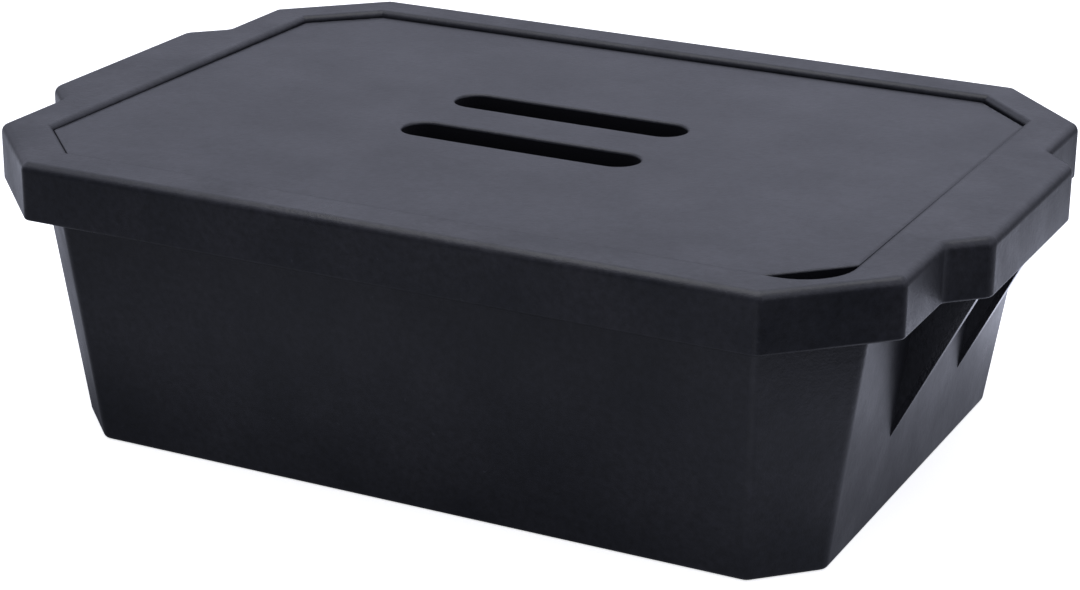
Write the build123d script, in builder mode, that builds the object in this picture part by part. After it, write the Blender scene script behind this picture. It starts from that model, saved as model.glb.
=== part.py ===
from build123d import *
import os
from math import radians, sqrt, tan

os.makedirs("parts", exist_ok=True)

# A rectangular foam ice pan with cut corners, and the flat lid that drops into its rim.
# Millimetres, +Z up, origin at the centre of the underside, X along the length.

# Rim, at the top of the pan
height = 129.0
rim_length = 400.0
rim_width = 299.0
rim_corner_cut = 41.0
rim_top_width = 21.2
skirt_height = 24.4
skirt_corner_round = 4.0
rim_outer_round = 3.8
rim_inner_round = 2.8
skirt_lower_round = 1.2

# Grip lips at the two ends, hollow underneath
grip_reach = 14.5
grip_root_width = 132.0
grip_tip_width = 103.0
grip_root_round = 5.0
grip_tip_round = 6.0
grip_skirt_wall = 6.0
grip_roof = 10.0
grip_hollow_round = 4.0
grip_roof_round = 2.0

# Gussets under each lip
gusset_spacing = 82.4
gusset_thickness = 5.6
gusset_edge_round = 2.0
gusset_foot = 37.0
gusset_bury = 4.0

# Tub, leaning inwards towards its base
wall_lean = 8.0
wall = 12.5
floor_thickness = 12.0
tub_corner_round = 5.0
base_round = 2.5
cavity_corner_round = 9.0

# Lid and the ledge that it lies on
lid_thickness = 11.0
lid_drop = 1.5
lid_gap = 0.7
lid_corner_round = 2.0
lid_top_round = 0.8
lid_bottom_round = 1.0
ledge = 5.0
recess_corner_cut = 27.0
thumb_corner_round = 22.0

# Finger slots through the lid
slot_length = 109.0
slot_width = 20.0
slot_spacing = 47.4
slot_edge_round = 1.2

# Levels and insets that follow from the sizes above
ledge_level = height - lid_drop - lid_thickness
skirt_bottom = height - skirt_height
hollow_top = height - grip_roof
cavity_inset = rim_top_width + ledge
lean = tan(radians(wall_lean))
overhang = cavity_inset - wall - (height - ledge_level) * lean


def corner_cut(inset):
    """How far a corner is cut back on the outline that lies this far inside the rim's."""
    return rim_corner_cut - (2 - sqrt(2)) * inset


def cut_corner_outline(level, inset, cut, corner_round=0.0):
    """A rectangle this far inside the rim, with its four corners cut back by cut."""
    with BuildSketch(Plane.XY.offset(level)) as outline:
        Rectangle(rim_length - 2 * inset, rim_width - 2 * inset)
        chamfer(outline.vertices(), cut)
        if corner_round > 0:
            fillet(outline.vertices(), corner_round)
    return outline.sketch


def tub_half_length(level):
    """Half the tub's outer length at this level."""
    return rim_length / 2 - overhang - (height - level) * lean


def upright_faces(shape):
    """The faces of a plain prism that stand around its sides."""
    return shape.faces().filter_by(Axis.Z, reverse=True)


# The tub's outer form: one drafted prism with eight sides
with BuildPart() as tub_form:
    extrude(cut_corner_outline(0, overhang, corner_cut(overhang)), amount=height)
    draft(upright_faces(tub_form), Plane.XY.offset(height), -wall_lean)
    fillet(tub_form.edges().filter_by(Plane.XY, reverse=True), tub_corner_round)
    fillet(tub_form.faces().sort_by(Axis.Z)[0].edges(), base_round)

# The space for the ice, below the ledge
with BuildPart() as ice_space:
    space_outline = cut_corner_outline(floor_thickness, cavity_inset, corner_cut(cavity_inset))
    extrude(space_outline, amount=ledge_level - floor_thickness)
    draft(upright_faces(ice_space), Plane.XY.offset(ledge_level), -wall_lean)
    fillet(ice_space.edges().filter_by(Plane.XY, reverse=True), cavity_corner_round)
    fillet(ice_space.faces().sort_by(Axis.Z)[0].edges(), cavity_corner_round)

# The recess that the lid drops into. Three corners are cut straight beside the lid's own,
# and the one at +X, -Y is round, which leaves a notch for a thumb beside the lid.
towards_thumb = Axis((0, 0, 0), (1, -1, 0))
with BuildPart() as lid_recess:
    with BuildSketch(Plane.XY.offset(ledge_level)) as recess_outline:
        Rectangle(rim_length - 2 * rim_top_width, rim_width - 2 * rim_top_width)
        chamfer(recess_outline.vertices().sort_by(towards_thumb)[:-1], recess_corner_cut)
        fillet(recess_outline.vertices().sort_by(towards_thumb)[-1], thumb_corner_round)
    extrude(amount=height - ledge_level)

# The hollow under the lip at +X: the lip's own outline, drawn in by its wall
lip_slant = (grip_root_width - grip_tip_width) / 2 / grip_reach
hollow_half_root = grip_root_width / 2 - grip_skirt_wall * sqrt(1 + lip_slant**2)
hollow_reach = grip_reach - grip_skirt_wall
with BuildPart() as grip_hollow:
    with BuildSketch(Plane.XY.offset(skirt_bottom)) as hollow_outline:
        with BuildLine():
            Polyline(
                (rim_length / 2 - rim_top_width, hollow_half_root),
                (rim_length / 2, hollow_half_root),
                (rim_length / 2 + hollow_reach, hollow_half_root - hollow_reach * lip_slant),
                (rim_length / 2 + hollow_reach, hollow_reach * lip_slant - hollow_half_root),
                (rim_length / 2, -hollow_half_root),
                (rim_length / 2 - rim_top_width, -hollow_half_root),
                close=True,
            )
        make_face()
        fillet(hollow_outline.vertices().sort_by(Axis.X)[2:], grip_hollow_round)
    extrude(amount=hollow_top - skirt_bottom)
    fillet(grip_hollow.faces().sort_by(Axis.Z)[-1].edges(), grip_roof_round)

# One gusset: a thin triangular plate with a rounded edge, in the plane y = 0.
# It runs from the tub's wall up into the lip, and is buried a little in both.
foot = Vector(tub_half_length(gusset_foot), 0, gusset_foot)
tip = Vector(rim_length / 2 + grip_reach - grip_skirt_wall, 0, skirt_bottom)
along_edge = (tip - foot).normalized() * gusset_bury
with BuildPart() as gusset:
    with BuildSketch(Plane.XZ) as gusset_outline:
        with BuildLine():
            lower = foot - along_edge
            upper = tip + along_edge
            Polyline(
                (lower.X, lower.Z),
                (upper.X, upper.Z),
                (upper.X, hollow_top + gusset_bury),
                (tub_half_length(hollow_top) - gusset_bury, hollow_top + gusset_bury),
                (lower.X - gusset_bury, lower.Z),
                close=True,
            )
        make_face()
    extrude(amount=gusset_thickness / 2, both=True)
    slanting_face = gusset.faces().sort_by(Axis.X)[-2]
    long_edges = slanting_face.edges().filter_by(Axis.Y, reverse=True)
    fillet(long_edges, min(gusset_edge_round, gusset_thickness * 0.45))

# The pan: rim with its skirt and lips, then hollows, tub, gussets, recess and ice space
with BuildPart() as pan:
    with BuildSketch(Plane.XY.offset(skirt_bottom)) as rim_outline:
        with BuildLine():
            quarter = FilletPolyline(
                (rim_length / 2 + grip_reach, 0),
                (rim_length / 2 + grip_reach, grip_tip_width / 2),
                (rim_length / 2, grip_root_width / 2),
                (rim_length / 2, rim_width / 2 - rim_corner_cut),
                (rim_length / 2 - rim_corner_cut, rim_width / 2),
                (0, rim_width / 2),
                radius=(grip_tip_round, grip_root_round, skirt_corner_round, skirt_corner_round),
            )
            half = mirror(quarter, about=Plane.YZ)
            mirror(quarter, about=Plane.XZ)
            mirror(half, about=Plane.XZ)
        make_face()
    extrude(amount=skirt_height)
    fillet(pan.faces().sort_by(Axis.Z)[-1].edges(), rim_outer_round)
    fillet(pan.faces().sort_by(Axis.Z)[0].edges(), skirt_lower_round)

    add(grip_hollow.part, mode=Mode.SUBTRACT)
    add(grip_hollow.part.mirror(Plane.YZ), mode=Mode.SUBTRACT)
    add(tub_form.part)
    with Locations((0, gusset_spacing / 2, 0), (0, -gusset_spacing / 2, 0)):
        add(gusset.part)
        add(gusset.part.mirror(Plane.YZ))
    add(lid_recess.part, mode=Mode.SUBTRACT)
    add(ice_space.part, mode=Mode.SUBTRACT)
    fillet(pan.faces().filter_by(Axis.Z).sort_by(Axis.Z)[-1].inner_wires()[0].edges(), rim_inner_round)

# The lid: a flat slab with cut corners and two finger slots
lid_corner_cut = recess_corner_cut - (2 - sqrt(2)) * lid_gap
with BuildPart() as lid:
    lid_outline = cut_corner_outline(ledge_level, rim_top_width + lid_gap, lid_corner_cut, lid_corner_round)
    extrude(lid_outline, amount=lid_thickness)
    fillet(lid.faces().sort_by(Axis.Z)[-1].edges(), lid_top_round)
    fillet(lid.faces().sort_by(Axis.Z)[0].edges(), lid_bottom_round)
    with BuildSketch(Plane.XY.offset(ledge_level)):
        with Locations((0, slot_spacing / 2), (0, -slot_spacing / 2)):
            SlotOverall(slot_length, slot_width)
    extrude(amount=lid_thickness, mode=Mode.SUBTRACT)
    slot_rims = lid.faces().sort_by(Axis.Z)[-1].inner_wires()
    fillet([rim.edges() for rim in slot_rims], slot_edge_round)

pan.part.label = "pan"
lid.part.label = "lid"
export_step(pan.part, "parts/pan.step")
export_step(lid.part, "parts/lid.step")
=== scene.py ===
from math import ceil, cos, pi, radians, sin, sqrt

import bmesh
import bpy
from mathutils import Matrix, Vector
from mathutils.geometry import delaunay_2d_cdt


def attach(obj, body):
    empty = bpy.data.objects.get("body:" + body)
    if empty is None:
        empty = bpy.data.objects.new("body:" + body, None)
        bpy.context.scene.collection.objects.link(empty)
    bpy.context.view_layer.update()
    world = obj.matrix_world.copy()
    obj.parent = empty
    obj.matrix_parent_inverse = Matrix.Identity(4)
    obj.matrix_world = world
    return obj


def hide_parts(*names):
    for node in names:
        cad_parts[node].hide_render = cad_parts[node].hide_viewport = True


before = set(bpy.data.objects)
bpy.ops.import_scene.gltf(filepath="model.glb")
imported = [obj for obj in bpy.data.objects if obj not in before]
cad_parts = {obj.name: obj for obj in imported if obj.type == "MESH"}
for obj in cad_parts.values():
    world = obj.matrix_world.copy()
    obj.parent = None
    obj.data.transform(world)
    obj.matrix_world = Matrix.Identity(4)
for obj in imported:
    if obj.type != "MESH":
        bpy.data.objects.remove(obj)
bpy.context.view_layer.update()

# Everything below is in metres, in the pan's own frame: +X towards the end with the thumb notch,
# -Y towards the front long side, +Z up from the surface that the pan stands on.

# The camera stands in front of the front long side, towards the end with the thumb notch.
CAMERA_AZIMUTH = radians(25.80)
CAMERA_ELEVATION = radians(20.32)
CAMERA_ROLL = 0.01395
CAMERA_PLACE = Vector((0.49743, -1.00274, 0.46913))
CAMERA_SENSOR = 36.0
CAMERA_LENS = 92.31
CAMERA_SHIFT = (-0.02725, -0.00612)
CAMERA_NEAREST, CAMERA_FARTHEST = 0.05, 50.0

# The surroundings' colours follow their direction's Y plus its height, over this span.
SURROUNDINGS_SPAN = (-1.0, 1.4)
SURROUNDINGS = (
    (0.33, (0.19, 0.20, 0.25)),     # in front
    (0.58, (0.84, 0.865, 1.05)),    # above, a little in front
    (0.85, (0.52, 0.535, 0.655)),   # straight above, and low behind
    (0.98, (0.82, 0.845, 1.03)),    # high behind
)
# They are dimmed to this share at the horizon, and whole from this height on.
HORIZON_SHARE = 0.30
HORIZON_REACH = 0.30

FLOOR_HALF_SIZE = 6.0
FLOOR_GREY = 0.9
FLOOR_GLOW = 0.75

# The glow that the pan's sides take from the table: (place, level) along X and along Y
GLOW_HALF_SIZE = 3.0
GLOW_LEVEL = -0.0004
GLOW_COLOUR = (0.94, 0.98, 1.19)
GLOW_SPAN_X = (-0.50, 0.50)
GLOW_ALONG_X = (
    (-0.46, 0.80), (-0.28, 0.80), (-0.10, 1.12), (0.05, 0.92),
    (0.19, 1.7), (0.25, 1.6), (0.31, 0.55), (0.40, 0.32),
)
GLOW_SPAN_Y = (-0.50, 1.50)
GLOW_ALONG_Y = (
    (-0.45, 0.25), (-0.20, 0.33), (-0.05, 0.52), (0.17, 1.0),
    (0.30, 1.05), (0.42, 0.55), (1.2, 0.4),
)
# The glow is weaker close to the pan's underside, which has this half size.
UNDERSIDE_HALF_SIZE = (0.168, 0.118, 0)
GLOW_NEAR_SHARE = 0.28
GLOW_NEAR_REACH = 0.11

# The foam's skin. A soft random pattern mostly stays within PATTERN_SPAN. It is darkest and
# lightest at the two mottling values, and scuffed from the first scuffing value to the second.
PATTERN_SPAN = (0.3, 0.7)
MOTTLING_DARKEST, MOTTLING_LIGHTEST = 0.35, 0.68
PORE_SHADES = (0.62, 1.38)
SCUFFING_STARTS, SCUFFING_WHOLE = 0.76, 0.81
SCUFF_COLOUR = (0.055, 0.057, 0.066, 1)
SCUFF_STRENGTH = 0.5
SKIN_ROUGHNESS = 0.36
SKIN_SHINE = 0.5

# The lid's slot walls and its side beside the thumb notch: a darker colour, which is painted shade
# for these recesses, with a rough finish and little shine
PAINTED_SHADE_COLOUR = (0.006, 0.006, 0.0075, 1)
CUT_ROUGHNESS = 0.9
CUT_SHINE = 0.1

# The pan's gussets: their places beside the middle, and their slanting edges, each from a foot
# (X, Z) on the end wall up to the lip, facing outwards in the direction (X, Z)
GUSSET_PLACE = 0.0412
GUSSET_FOOT_X, GUSSET_FOOT_Z = 0.17513, 0.037
GUSSET_OUTWARD_X, GUSSET_OUTWARD_Z = 0.8967, -0.4426
GUSSET_EDGE_ROUGHNESS = 0.16
# How their smooth edges end, from full to gone: beside a gusset's middle plane, off its slanting
# edge, and at the heights of the lip and the foot
GUSSET_FADE_BESIDE = (0.0030, 0.0040)
GUSSET_FADE_OFF_EDGE = (0.0018, 0.0034)
GUSSET_FADE_AT_LIP = (0.1038, 0.1044)
GUSSET_FADE_AT_FOOT = (0.041, 0.038)

# The lid: a flat slab with cut corners and two finger slots
LID_TOP = 0.1275
LID_THICKNESS = 0.011
LID_BOTTOM = LID_TOP - LID_THICKNESS
LID_HALF_LENGTH = 0.1781
LID_HALF_WIDTH = 0.1273
# How far each corner is cut back, by its sides along X and Y
LID_CORNER_CUTS = {(1, 1): 0.0273, (-1, 1): 0.0273, (-1, -1): 0.0257, (1, -1): 0.0273}
LID_CORNER_ROUND = 0.002
LID_TOP_ROUND = 0.0006
LID_BOTTOM_ROUND = 0.001
SLOT_HALF_LENGTH = 0.0545
SLOT_HALF_WIDTH = 0.010
SLOT_PLACES = (-0.0237, 0.0237)
SLOT_EDGE_ROUND = 0.0012
SLOT_FOOT_ROUND = 0.0003
# A side is the one beside the thumb notch if it faces at least this much towards +X and -Y.
THUMB_SIDE_FACING = 0.5
# A face gets the painted shade of the slot and notch walls if more than this share of its corners
# does.
PAINTED_SHADE_FACE_SHARE = 0.6

# How the lid lies in its gap: moved a little off the middle, sagging between its edges,
# drooping at them, and tilted
LID_REST_SHIFT = (0.0006, -0.0009, 0.0)
LID_SAG = 0.001
LID_EDGE_DROOP = 0.0003
LID_EXTRA_DROOP_AT_BACK = 1.2
LID_DROOP_REACH = 0.009
LID_RIGHT_LIFT = 0.0001
LID_FRONT_LIFT = 0.0005
LID_RIPPLE_HEIGHT = 0.0003
LID_RIPPLE_SCALE = 16.0
LID_RIPPLE_SEED = 7.0

# How finely the lid's mesh is made: its steps along straights and round arcs, and the rings of
# points beside its edges and slots, which keep the grid between them at a distance
MESH_STEP = 0.004
CORNER_STEPS = 4
SLOT_END_STEPS = 16
TOP_ROUND_STEPS = 4
BOTTOM_ROUND_STEPS = 3
RINGS_INSIDE_EDGE = (0.0020, 0.0034, 0.0052, 0.0075, 0.0105)
RINGS_AROUND_SLOT = (0.0027, 0.0050, 0.0080)
GRID_TO_EDGE = 0.0135
GRID_TO_SLOT = 0.0105
SAME_POINT = 1e-7

# Where a Mix node keeps its share, its two values and its result
MIX_SOCKETS = {"RGBA": (0, 6, 7, 2), "FLOAT": (0, 2, 3, 0)}


class Nodes:
    """Short ways to fill a node tree."""

    def __init__(self, tree):
        self.tree = tree

    def add(self, kind, values=None, **settings):
        """A node with its settings, and with values on its sockets."""
        node = self.tree.nodes.new(kind)
        for name, setting in settings.items():
            setattr(node, name, setting)
        for name, value in (values or {}).items():
            node.inputs[name].default_value = value
        return node

    def join(self, start, end):
        """A link from one socket to another."""
        self.tree.links.new(start, end)

    def calculate(self, operation, first, second=0.0):
        """The result of a sum on numbers or sockets."""
        node = self.add("ShaderNodeMath", operation=operation)
        for socket, value in zip(node.inputs, (first, second)):
            if isinstance(value, float):
                socket.default_value = value
            else:
                self.join(value, socket)
        return node.outputs[0]

    def ranged(self, value, before, after=(0.0, 1.0), smooth=False):
        """A value taken from one (low, high) range to another, and kept inside it."""
        node = self.add("ShaderNodeMapRange", {
            "From Min": before[0], "From Max": before[1], "To Min": after[0], "To Max": after[1],
        }, interpolation_type="SMOOTHSTEP" if smooth else "LINEAR")
        self.join(value, node.inputs["Value"])
        return node.outputs["Result"]

    def ramp(self, value, stops, interpolation="LINEAR"):
        """A colour that follows a value from 0 to 1, through (position, colour) stops."""
        node = self.add("ShaderNodeValToRGB")
        node.color_ramp.interpolation = interpolation
        for index, (position, colour) in enumerate(stops):
            if index > 1:
                node.color_ramp.elements.new(1.0)
            stop = node.color_ramp.elements[index]
            stop.position = position
            stop.color = (*colour, 1)
        self.join(value, node.inputs["Fac"])
        return node.outputs["Color"]

    def levels(self, value, span, stops):
        """A brightness that follows a value over its span, through (value, level) stops."""
        low, high = span
        shares = [((place - low) / (high - low), (level, level, level)) for place, level in stops]
        return self.ramp(self.ranged(value, span), shares, "EASE")

    def mixed(self, kind, share, first, second):
        """Two colours or two numbers, mixed by a share. The second is the same everywhere."""
        node = self.add("ShaderNodeMix", data_type=kind)
        at_share, at_first, at_second, at_result = MIX_SOCKETS[kind]
        self.join(share, node.inputs[at_share])
        self.join(first, node.inputs[at_first])
        node.inputs[at_second].default_value = second
        return node.outputs[at_result]

    def pattern(self, place, scale, detail, roughness=0.5):
        """A soft random pattern over a place."""
        node = self.add("ShaderNodeTexNoise", {
            "Scale": scale, "Detail": detail, "Roughness": roughness,
        })
        self.join(place, node.inputs["Vector"])
        return node.outputs["Fac"]

    def relief(self, height, strength, distance, on_top_of=None):
        """The surface's direction with a small relief."""
        node = self.add("ShaderNodeBump", {"Strength": strength, "Distance": distance})
        self.join(height, node.inputs["Height"])
        if on_top_of is not None:
            self.join(on_top_of, node.inputs["Normal"])
        return node.outputs["Normal"]

    def split(self, vector):
        """A vector's X, Y and Z, by name."""
        node = self.add("ShaderNodeSeparateXYZ")
        self.join(vector, node.inputs[0])
        return node.outputs

    def end(self, kind, surface):
        """The tree's output, which shows this surface."""
        self.join(surface, self.add(kind).inputs["Surface"])


def emptied(owner):
    """The emptied node tree of a material or of the surroundings."""
    owner.use_nodes = True
    owner.node_tree.nodes.clear()
    return Nodes(owner.node_tree)


def add_camera():
    """The photograph's viewpoint."""
    data = bpy.data.cameras.new("camera")
    data.sensor_width = CAMERA_SENSOR
    data.lens = CAMERA_LENS
    data.shift_x, data.shift_y = CAMERA_SHIFT
    data.clip_start, data.clip_end = CAMERA_NEAREST, CAMERA_FARTHEST
    camera = bpy.data.objects.new("camera", data)
    bpy.context.scene.collection.objects.link(camera)
    back = Vector((
        sin(CAMERA_AZIMUTH) * cos(CAMERA_ELEVATION),
        -cos(CAMERA_AZIMUTH) * cos(CAMERA_ELEVATION),
        sin(CAMERA_ELEVATION),
    ))
    level_right = Vector((cos(CAMERA_AZIMUTH), sin(CAMERA_AZIMUTH), 0))
    level_up = back.cross(level_right)
    right = level_right * cos(CAMERA_ROLL) + level_up * sin(CAMERA_ROLL)
    up = level_up * cos(CAMERA_ROLL) - level_right * sin(CAMERA_ROLL)
    turn = Matrix((right, up, back)).transposed()
    camera.matrix_world = Matrix.Translation(CAMERA_PLACE) @ turn.to_4x4()
    bpy.context.scene.camera = camera


def add_surroundings():
    """Soft studio surroundings: bright above and behind the pan, dim in front of it."""
    world = bpy.data.worlds.new("studio")
    bpy.context.scene.world = world
    nodes = emptied(world)
    direction = nodes.split(nodes.add("ShaderNodeTexCoord").outputs["Generated"])
    height = nodes.calculate("MAXIMUM", direction["Z"], 0.0)
    place = nodes.ranged(nodes.calculate("ADD", height, direction["Y"]), SURROUNDINGS_SPAN)
    light = nodes.add("ShaderNodeBackground")
    nodes.join(nodes.ramp(place, SURROUNDINGS), light.inputs["Color"])
    strength = nodes.ranged(height, (0.0, HORIZON_REACH), (HORIZON_SHARE, 1.0), smooth=True)
    nodes.join(strength, light.inputs["Strength"])

    plain_white = nodes.add("ShaderNodeBackground", {"Color": (1, 1, 1, 1)})
    ray = nodes.add("ShaderNodeLightPath")
    shown = nodes.add("ShaderNodeMixShader")
    nodes.join(ray.outputs["Is Camera Ray"], shown.inputs[0])
    nodes.join(light.outputs[0], shown.inputs[1])
    nodes.join(plain_white.outputs[0], shown.inputs[2])
    nodes.end("ShaderNodeOutputWorld", shown.outputs[0])


def add_panel(name, place, target, width, height, power):
    """One large soft light, turned towards its target."""
    data = bpy.data.lights.new(name, "AREA")
    data.shape = "RECTANGLE"
    data.size, data.size_y = width, height
    data.energy = power
    lamp = bpy.data.objects.new(name, data)
    bpy.context.scene.collection.objects.link(lamp)
    lamp.location = place
    lamp.rotation_euler = (Vector(target) - Vector(place)).to_track_quat("-Z", "Y").to_euler()


def add_sheet(name, half_size, level, material):
    """A flat square that lies under the pan."""
    mesh = bpy.data.meshes.new(name)
    sides = ((-1, -1), (1, -1), (1, 1), (-1, 1))
    corners = [(side_x * half_size, side_y * half_size, level) for side_x, side_y in sides]
    mesh.from_pydata(corners, [], [(0, 1, 2, 3)])
    mesh.materials.append(material)
    sheet = bpy.data.objects.new(name, mesh)
    bpy.context.scene.collection.objects.link(sheet)
    return sheet


def add_floor():
    """A plain white floor, which takes the pan's soft shadow."""
    material = bpy.data.materials.new("floor_white")
    nodes = emptied(material)
    paint = nodes.add("ShaderNodeBsdfPrincipled", {
        "Base Color": (FLOOR_GREY, FLOOR_GREY, FLOOR_GREY, 1),
        "Roughness": 1.0,
        "Specular IOR Level": 0.0,
        "Emission Color": (1, 1, 1, 1),
        "Emission Strength": FLOOR_GLOW,
    })
    nodes.end("ShaderNodeOutputMaterial", paint.outputs[0])
    floor = add_sheet("floor", FLOOR_HALF_SIZE, 0.0, material)
    floor.visible_diffuse = False
    floor.visible_glossy = False


def add_bounce_card():
    """A soft glow from the table, which only lights the foam: bright behind, dim in front."""
    material = bpy.data.materials.new("bounce_glow")
    nodes = emptied(material)
    place = nodes.add("ShaderNodeTexCoord").outputs["Object"]
    across = nodes.split(place)
    level_x = nodes.levels(across["X"], GLOW_SPAN_X, GLOW_ALONG_X)
    level_y = nodes.levels(across["Y"], GLOW_SPAN_Y, GLOW_ALONG_Y)

    from_middle = nodes.add("ShaderNodeVectorMath", operation="ABSOLUTE")
    beyond = nodes.add("ShaderNodeVectorMath", operation="SUBTRACT")
    beyond.inputs[1].default_value = UNDERSIDE_HALF_SIZE
    nodes.join(place, from_middle.inputs[0])
    nodes.join(from_middle.outputs[0], beyond.inputs[0])
    beyond_sides = nodes.split(beyond.outputs[0])
    distance = nodes.calculate("MAXIMUM", beyond_sides["X"], beyond_sides["Y"])
    nearness = nodes.ranged(distance, (0.0, GLOW_NEAR_REACH), (GLOW_NEAR_SHARE, 1.0), smooth=True)

    glow = nodes.add("ShaderNodeEmission", {"Color": (*GLOW_COLOUR, 1)})
    strength = nodes.calculate("MULTIPLY", nodes.calculate("MULTIPLY", level_x, level_y), nearness)
    nodes.join(strength, glow.inputs["Strength"])
    nodes.end("ShaderNodeOutputMaterial", glow.outputs[0])
    card = add_sheet("bounce_card", GLOW_HALF_SIZE, GLOW_LEVEL, material)
    card.visible_camera = False
    card.visible_shadow = False


def gusset_edge_share(nodes, place):
    """1 on the gussets' slanting edges, which come smoother out of the mould, and 0 elsewhere."""
    def whole_within(distance, fade):
        return nodes.ranged(distance, fade, (1.0, 0.0), smooth=True)

    calculate = nodes.calculate
    parts = nodes.split(place)
    from_foot_x = calculate("SUBTRACT", calculate("ABSOLUTE", parts["X"]), GUSSET_FOOT_X)
    from_foot_z = calculate("SUBTRACT", parts["Z"], GUSSET_FOOT_Z)
    off_edge = calculate("ADD", calculate("MULTIPLY", from_foot_x, GUSSET_OUTWARD_X),
                         calculate("MULTIPLY", from_foot_z, GUSSET_OUTWARD_Z))
    beside = calculate("SUBTRACT", calculate("ABSOLUTE", parts["Y"]), GUSSET_PLACE)
    on_edge = whole_within(calculate("ABSOLUTE", off_edge), GUSSET_FADE_OFF_EDGE)
    on_gusset = whole_within(calculate("ABSOLUTE", beside), GUSSET_FADE_BESIDE)
    below_lip = whole_within(parts["Z"], GUSSET_FADE_AT_LIP)
    above_foot = whole_within(parts["Z"], GUSSET_FADE_AT_FOOT)
    return calculate("MULTIPLY", calculate("MULTIPLY", on_edge, on_gusset),
                     calculate("MULTIPLY", below_lip, above_foot))


def foam_skin(name, dark, light, grain, scuffed, patchy, with_gussets=False):
    """Black closed-cell foam: a matt moulded skin, finely grained and a little uneven."""
    material = bpy.data.materials.new(name)
    nodes = emptied(material)
    place = nodes.add("ShaderNodeTexCoord").outputs["Object"]

    mottling = nodes.pattern(place, scale=26.0, detail=5.0, roughness=0.55)
    colour = nodes.ramp(mottling, ((MOTTLING_DARKEST, dark), (MOTTLING_LIGHTEST, light)))
    pores = nodes.pattern(place, scale=340.0, detail=3.0, roughness=0.6)
    pored = nodes.add("ShaderNodeVectorMath", operation="SCALE")
    nodes.join(colour, pored.inputs[0])
    nodes.join(nodes.ranged(pores, PATTERN_SPAN, PORE_SHADES), pored.inputs["Scale"])
    scuff_places = nodes.pattern(place, scale=230.0, detail=3.0, roughness=0.55)
    scuff_edge = (SCUFFING_STARTS - scuffed, SCUFFING_WHOLE - scuffed)
    scuffs = nodes.ranged(scuff_places, scuff_edge, (0.0, SCUFF_STRENGTH))
    worn = nodes.mixed("RGBA", scuffs, pored.outputs[0], SCUFF_COLOUR)

    sheen_patches = nodes.pattern(place, scale=17.0, detail=8.0, roughness=0.66)
    patch_roughness = (SKIN_ROUGHNESS - patchy, SKIN_ROUGHNESS + patchy)
    roughness = nodes.ranged(sheen_patches, PATTERN_SPAN, patch_roughness)
    if with_gussets:
        share = gusset_edge_share(nodes, place)
        roughness = nodes.mixed("FLOAT", share, roughness, GUSSET_EDGE_ROUGHNESS)

    waviness = nodes.pattern(place, scale=14.0, detail=2.0)
    coarse_grain = nodes.pattern(place, scale=420.0, detail=2.0)
    fine_grain = nodes.pattern(place, scale=1100.0, detail=3.0, roughness=0.6)
    wavy = nodes.relief(waviness, strength=0.35, distance=0.0010)
    coarse = nodes.relief(coarse_grain, strength=grain, distance=0.0004, on_top_of=wavy)
    fine = nodes.relief(fine_grain, strength=0.30, distance=0.0003, on_top_of=coarse)

    foam = nodes.add("ShaderNodeBsdfPrincipled", {"Specular IOR Level": SKIN_SHINE})
    nodes.join(worn, foam.inputs["Base Color"])
    nodes.join(roughness, foam.inputs["Roughness"])
    nodes.join(fine, foam.inputs["Normal"])
    nodes.end("ShaderNodeOutputMaterial", foam.outputs[0])
    return material


def painted_shade_foam(name):
    """The lid's slot walls and its side beside the thumb notch: a colour darker than the skin,
    which is painted shade for these recesses, with a rough finish and little sheen.
    """
    material = bpy.data.materials.new(name)
    nodes = emptied(material)
    place = nodes.add("ShaderNodeTexCoord").outputs["Object"]
    cells = nodes.pattern(place, scale=1500.0, detail=2.0)
    foam = nodes.add("ShaderNodeBsdfPrincipled", {
        "Base Color": PAINTED_SHADE_COLOUR, "Roughness": CUT_ROUGHNESS, "Specular IOR Level": CUT_SHINE,
    })
    nodes.join(nodes.relief(cells, strength=0.5, distance=0.0003), foam.inputs["Normal"])
    nodes.end("ShaderNodeOutputMaterial", foam.outputs[0])
    return material


def along_straights(corners):
    """Fill the straight runs between the points of a closed ring of (point, outward) pairs."""
    filled = []
    for (start, start_out), (end, end_out) in zip(corners, corners[1:] + corners[:1]):
        count = max(1, ceil((end - start).length / MESH_STEP))
        for step in range(count):
            share = step / count
            outward = start_out.lerp(end_out, share).normalized()
            filled.append((start.lerp(end, share), outward))
    return filled


def lid_corners(inset=0.0):
    """The eight corners of the lid's outline, anticlockwise, drawn in by inset."""
    length, width = LID_HALF_LENGTH - inset, LID_HALF_WIDTH - inset
    corners = []
    for (side_x, side_y), outer_cut in LID_CORNER_CUTS.items():
        cut = outer_cut - (2 - sqrt(2)) * inset
        pair = [
            Vector((side_x * length, side_y * (width - cut))),
            Vector((side_x * (length - cut), side_y * width)),
        ]
        corners += pair if side_x * side_y > 0 else pair[::-1]
    return corners


def lid_edge_ring():
    """The lid's outline, as points with the directions that lead out of the foam."""
    corners = lid_corners()
    arcs = []
    earlier, later = corners[-1:] + corners[:-1], corners[1:] + corners[:1]
    for before, corner, after in zip(earlier, corners, later):
        arrive, leave = (corner - before).normalized(), (after - corner).normalized()
        first_out, last_out = Vector((arrive.y, -arrive.x)), Vector((leave.y, -leave.x))
        middle_out = (first_out + last_out).normalized()
        centre = corner - middle_out * (LID_CORNER_ROUND / middle_out.dot(first_out))
        for step in range(CORNER_STEPS + 1):
            outward = first_out.slerp(last_out, step / CORNER_STEPS)
            arcs.append((centre + outward * LID_CORNER_ROUND, outward))
    return along_straights(arcs)


def slot_edge_ring(place_y, outset=0.0):
    """One finger slot's outline, as points with the directions that lead out of the foam."""
    straight = SLOT_HALF_LENGTH - SLOT_HALF_WIDTH
    radius = SLOT_HALF_WIDTH + outset
    arcs = []
    for side in (1, -1):
        centre = Vector((side * straight, place_y))
        for step in range(SLOT_END_STEPS + 1):
            turn = pi * (step / SLOT_END_STEPS - 0.5)
            away = side * Vector((cos(turn), sin(turn)))
            arcs.append((centre + away * radius, -away))
    return along_straights(arcs)


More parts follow.
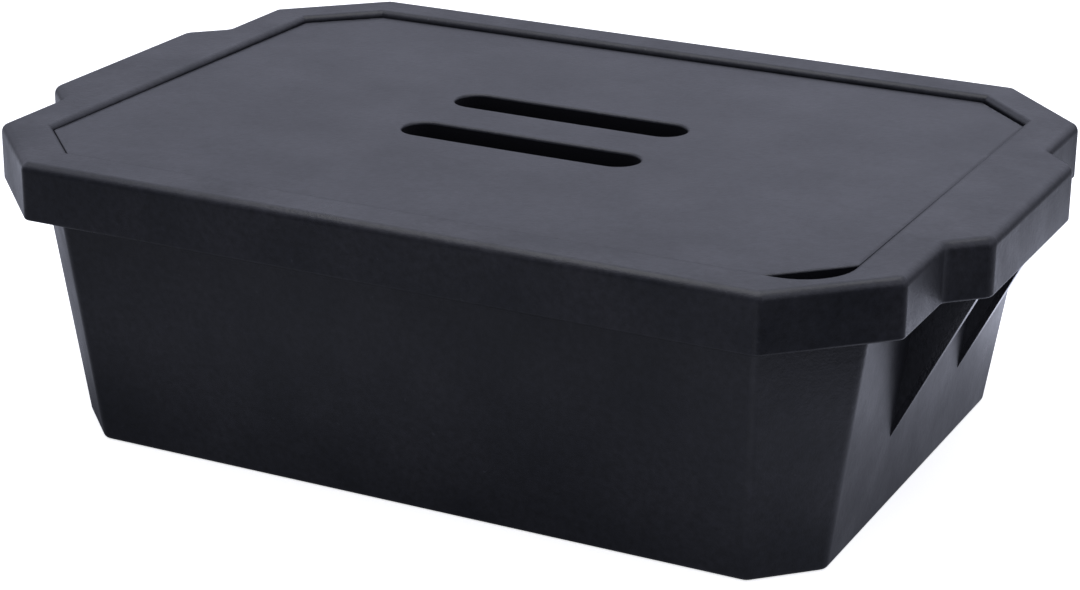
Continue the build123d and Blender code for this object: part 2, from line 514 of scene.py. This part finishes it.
def edge_profile(top_round, bottom_round):
    """A rounded edge from top to bottom, as (inset from the outline, level) pairs."""
    profile = []
    for step in range(TOP_ROUND_STEPS + 1):
        turn = pi / 2 * step / TOP_ROUND_STEPS
        profile.append((top_round * (1 - sin(turn)), LID_TOP - top_round * (1 - cos(turn))))
    for step in range(BOTTOM_ROUND_STEPS + 1):
        turn = pi / 2 * step / BOTTOM_ROUND_STEPS
        level = LID_BOTTOM + bottom_round * (1 - sin(turn))
        profile.append((bottom_round * (1 - cos(turn)), level))
    return profile


def edge_distance(x, y):
    """How far a place on the lid lies inside its outline."""
    cut = LID_CORNER_CUTS[1 if x > 0 else -1, 1 if y > 0 else -1]
    beside_cut = (LID_HALF_LENGTH + LID_HALF_WIDTH - cut - abs(x) - abs(y)) / sqrt(2)
    return min(LID_HALF_LENGTH - abs(x), LID_HALF_WIDTH - abs(y), beside_cut)


def slot_distance(x, y):
    """How far a place on the lid lies outside the nearer slot's outline."""
    along = max(0.0, abs(x) - (SLOT_HALF_LENGTH - SLOT_HALF_WIDTH))
    return min(sqrt(along**2 + (y - place)**2) for place in SLOT_PLACES) - SLOT_HALF_WIDTH


def droop_share(x, y):
    """1 at the lid's edge, more at its back edge, falling to 0 a little way inside it."""
    reach = min(1.0, max(0.0, edge_distance(x, y)) / LID_DROOP_REACH)
    at_back = 0.5 + 0.5 * y / LID_HALF_WIDTH
    return (1 - reach)**2 * (1 + LID_EXTRA_DROOP_AT_BACK * at_back**4)


def faces_thumb_notch(outward):
    """Whether this part of the lid's outline is its cut corner beside the thumb notch."""
    return outward.x > THUMB_SIDE_FACING and outward.y < -THUMB_SIDE_FACING


def inside_points():
    """Points over the lid's face: rings beside its edges and slots, and a grid between them."""
    points = []
    for inset in RINGS_INSIDE_EDGE:
        ring = along_straights([(corner, Vector((1, 0))) for corner in lid_corners(inset)])
        points += [point for point, _ in ring]
    for place in SLOT_PLACES:
        for outset in RINGS_AROUND_SLOT:
            points += [point for point, _ in slot_edge_ring(place, outset)]
    columns = int(LID_HALF_LENGTH / MESH_STEP)
    rows = int(LID_HALF_WIDTH / MESH_STEP)
    for column in range(-columns, columns + 1):
        for row in range(-rows, rows + 1):
            x, y = column * MESH_STEP, row * MESH_STEP
            if edge_distance(x, y) > GRID_TO_EDGE and slot_distance(x, y) > GRID_TO_SLOT:
                points.append(Vector((x, y)))
    return points


def is_within(point, ring):
    """Whether a point lies inside a closed convex ring that runs anticlockwise."""
    for start, end in zip(ring, ring[1:] + ring[:1]):
        if (end - start).cross(point - start) < 0:
            return False
    return True


def face_triangles(rings, inside):
    """The lid's flat face, as triangles over the rings' first points and then the inside ones."""
    flat, loops = [], []
    for ring, profile in rings:
        start, count = len(flat), len(ring)
        first_inset = profile[0][0]
        flat += [point - outward * first_inset for point, outward in ring]
        loops += [(start + index, start + (index + 1) % count) for index in range(count)]
    made = delaunay_2d_cdt(flat + inside, loops, [], 0, SAME_POINT)
    places, triangles, origins = made[0], made[2], made[3]
    slot_rings = [slot_edge_ring(place, SLOT_EDGE_ROUND) for place in SLOT_PLACES]
    slots = [[point for point, _ in ring] for ring in slot_rings]
    kept = []
    for triangle in triangles:
        middle = sum((places[corner] for corner in triangle), Vector((0, 0))) / 3
        if not any(is_within(middle, slot) for slot in slots):
            kept.append([origins[corner][0] for corner in triangle])
    return kept


def flat_lid_mesh():
    """The lid as one closed mesh, fine enough to bend. Two attributes say how much each point
    droops and which walls get painted shade: the slot walls and the side beside the thumb notch."""
    rings = [(lid_edge_ring(), edge_profile(LID_TOP_ROUND, LID_BOTTOM_ROUND))]
    for place in SLOT_PLACES:
        rings.append((slot_edge_ring(place), edge_profile(SLOT_EDGE_ROUND, SLOT_FOOT_ROUND)))
    inside = inside_points()

    vertices, faces, droop, painted_shade_wall = [], [], [], []
    for level in (LID_TOP, LID_BOTTOM):
        vertices += [(point.x, point.y, level) for point in inside]
        droop += [droop_share(point.x, point.y) if level == LID_TOP else 0.0 for point in inside]
        painted_shade_wall += [0.0] * len(inside)
    top_points, bottom_points = [], []
    for number, (ring, profile) in enumerate(rings):
        count = len(ring)
        is_slot = number > 0
        starts = []
        for step, (inset, level) in enumerate(profile):
            starts.append(len(vertices))
            for point, outward in ring:
                place = point - outward * inset
                vertices.append((place.x, place.y, level))
                on_top = step <= TOP_ROUND_STEPS
                droop.append(droop_share(place.x, place.y) if on_top else 0.0)
                # The slot walls and the side beside the thumb notch, below the top rounding, are
                # marked for painted shade.
                in_painted_shade = is_slot or faces_thumb_notch(outward)
                painted_shade_wall.append(1.0 if in_painted_shade and step >= TOP_ROUND_STEPS else 0.0)
        for upper, lower in zip(starts, starts[1:]):
            for index in range(count):
                after = (index + 1) % count
                faces.append((upper + index, lower + index, lower + after, upper + after))
        top_points += range(starts[0], starts[0] + count)
        bottom_points += range(starts[-1], starts[-1] + count)
    top_points += range(len(inside))
    bottom_points += range(len(inside), 2 * len(inside))
    for corners in face_triangles(rings, inside):
        faces.append([top_points[corner] for corner in corners])
        faces.append([bottom_points[corner] for corner in reversed(corners)])

    mesh = bpy.data.meshes.new("flat_lid")
    mesh.from_pydata(vertices, [], faces)
    for name, values in (("edge_droop", droop), ("painted_shade_wall", painted_shade_wall)):
        share = mesh.attributes.new(name, "FLOAT", "POINT")
        share.data.foreach_set("value", values)
    work = bmesh.new()
    work.from_mesh(mesh)
    bmesh.ops.recalc_face_normals(work, faces=work.faces)
    work.to_mesh(mesh)
    work.free()
    mesh.shade_smooth()
    return mesh


def settling_tree():
    """Geometry nodes that let a flat lid sag between its edges, droop at them, tilt and wave."""
    tree = bpy.data.node_groups.new("settled_lid", "GeometryNodeTree")
    sockets = tree.interface
    sockets.new_socket("Geometry", in_out="INPUT", socket_type="NodeSocketGeometry")
    sizes = {
        "Half Length": LID_HALF_LENGTH,
        "Half Width": LID_HALF_WIDTH,
        "Sag": LID_SAG,
        "Edge Droop": LID_EDGE_DROOP,
        "Right Lift": LID_RIGHT_LIFT,
        "Front Lift": LID_FRONT_LIFT,
        "Underside": LID_BOTTOM,
        "Thickness": LID_THICKNESS,
        "Ripple Height": LID_RIPPLE_HEIGHT,
        "Ripple Scale": LID_RIPPLE_SCALE,
        "Seed": LID_RIPPLE_SEED,
    }
    for name, value in sizes.items():
        socket = sockets.new_socket(name, in_out="INPUT", socket_type="NodeSocketFloat")
        socket.default_value = value
    sockets.new_socket("Skin", in_out="INPUT", socket_type="NodeSocketMaterial")
    # The second material is the darker one, painted shade for the slot walls and the side beside
    # the thumb notch.
    sockets.new_socket("Painted Shade Side", in_out="INPUT", socket_type="NodeSocketMaterial")
    sockets.new_socket("Geometry", in_out="OUTPUT", socket_type="NodeSocketGeometry")

    nodes = Nodes(tree)
    calculate = nodes.calculate
    given = nodes.add("NodeGroupInput").outputs
    place = nodes.add("GeometryNodeInputPosition").outputs[0]
    parts = nodes.split(place)

    def attribute(name):
        node = nodes.add("GeometryNodeInputNamedAttribute", {"Name": name}, data_type="FLOAT")
        return node.outputs["Attribute"]

    # The sag is a bowl, which is 1 in the lid's middle and 0 at its edges.
    share_x = calculate("DIVIDE", parts["X"], given["Half Length"])
    share_y = calculate("DIVIDE", parts["Y"], given["Half Width"])
    bowl = calculate("MULTIPLY",
                     calculate("SUBTRACT", 1.0, calculate("MULTIPLY", share_x, share_x)),
                     calculate("SUBTRACT", 1.0, calculate("MULTIPLY", share_y, share_y)))
    sag = calculate("MULTIPLY", bowl, given["Sag"])

    ripple = nodes.add("ShaderNodeTexNoise", {"Detail": 2.0}, noise_dimensions="4D")
    nodes.join(place, ripple.inputs["Vector"])
    nodes.join(given["Seed"], ripple.inputs["W"])
    nodes.join(given["Ripple Scale"], ripple.inputs["Scale"])
    wave = calculate("SUBTRACT", ripple.outputs[0], 0.5)
    wave = calculate("MULTIPLY", calculate("MULTIPLY", wave, given["Ripple Height"]), bowl)

    # The tilt lifts the top only, so that the underside stays on its ledge.
    tilt = calculate("SUBTRACT",
                     calculate("MULTIPLY", share_x, given["Right Lift"]),
                     calculate("MULTIPLY", share_y, given["Front Lift"]))
    height_share = calculate("DIVIDE",
                             calculate("SUBTRACT", parts["Z"], given["Underside"]),
                             given["Thickness"])
    tilt = calculate("MULTIPLY", tilt, height_share)
    droop = calculate("MULTIPLY", attribute("edge_droop"), given["Edge Droop"])
    settled = calculate("SUBTRACT", calculate("SUBTRACT", wave, sag), droop)
    shift = nodes.add("ShaderNodeCombineXYZ")
    nodes.join(calculate("ADD", settled, tilt), shift.inputs["Z"])

    move = nodes.add("GeometryNodeSetPosition")
    realize = nodes.add("GeometryNodeRealizeInstances")
    paint_skin = nodes.add("GeometryNodeSetMaterial")
    paint_shade = nodes.add("GeometryNodeSetMaterial")
    out = nodes.add("NodeGroupOutput")
    nodes.join(given["Geometry"], move.inputs["Geometry"])
    nodes.join(shift.outputs[0], move.inputs["Offset"])
    nodes.join(move.outputs[0], realize.inputs[0])
    nodes.join(realize.outputs[0], paint_skin.inputs["Geometry"])
    nodes.join(given["Skin"], paint_skin.inputs["Material"])
    nodes.join(paint_skin.outputs[0], paint_shade.inputs["Geometry"])
    nodes.join(given["Painted Shade Side"], paint_shade.inputs["Material"])
    # These faces get the darker material: painted shade on the slot walls and the side beside the
    # thumb notch.
    in_painted_shade = calculate("GREATER_THAN", attribute("painted_shade_wall"), PAINTED_SHADE_FACE_SHARE)
    nodes.join(in_painted_shade, paint_shade.inputs["Selection"])
    nodes.join(paint_shade.outputs[0], out.inputs[0])
    return tree


def make_settled_lid(skin, painted_shade_side):
    """The lid as it lies in the rim: a little off the middle of its gap, and settled."""
    flat = bpy.data.objects.new("settled_lid", flat_lid_mesh())
    bpy.context.scene.collection.objects.link(flat)
    tree = settling_tree()
    settle = flat.modifiers.new("settle", "NODES")
    settle.node_group = tree
    inputs = [item for item in tree.interface.items_tree if item.in_out == "INPUT"]
    sockets = {item.name: item.identifier for item in inputs}
    settle[sockets["Skin"]] = skin
    settle[sockets["Painted Shade Side"]] = painted_shade_side
    view = bpy.context.evaluated_depsgraph_get()
    mesh = bpy.data.meshes.new_from_object(flat.evaluated_get(view))
    flat.modifiers.remove(settle)
    flat.data = mesh
    mesh.name = "settled_lid"
    mesh.transform(Matrix.Translation(LID_REST_SHIFT))
    mesh.shade_smooth()
    return flat


add_camera()
add_surroundings()
add_panel("top_light", place=(0.0, -0.05, 1.5), target=(0, 0, 0.1), width=1.7, height=1.4, power=10)
add_floor()
add_bounce_card()

pan_foam = foam_skin("pan_foam", dark=(0.0095, 0.0105, 0.0140), light=(0.0195, 0.0195, 0.0235),
                     grain=0.22, scuffed=0.04, patchy=0.11, with_gussets=True)
lid_foam = foam_skin("lid_foam", dark=(0.012, 0.0125, 0.016), light=(0.019, 0.0195, 0.024),
                     grain=0.18, scuffed=0.0, patchy=0.05)

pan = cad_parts["pan"]
pan.data.materials.clear()
pan.data.materials.append(pan_foam)

# The lid's slot walls and its side beside the thumb notch get a darker material, which is painted
# shade.
lid = make_settled_lid(lid_foam, painted_shade_foam("lid_sides_painted_shade"))
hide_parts("lid")
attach(lid, "lid")

bpy.context.scene.view_settings.view_transform = "Standard"
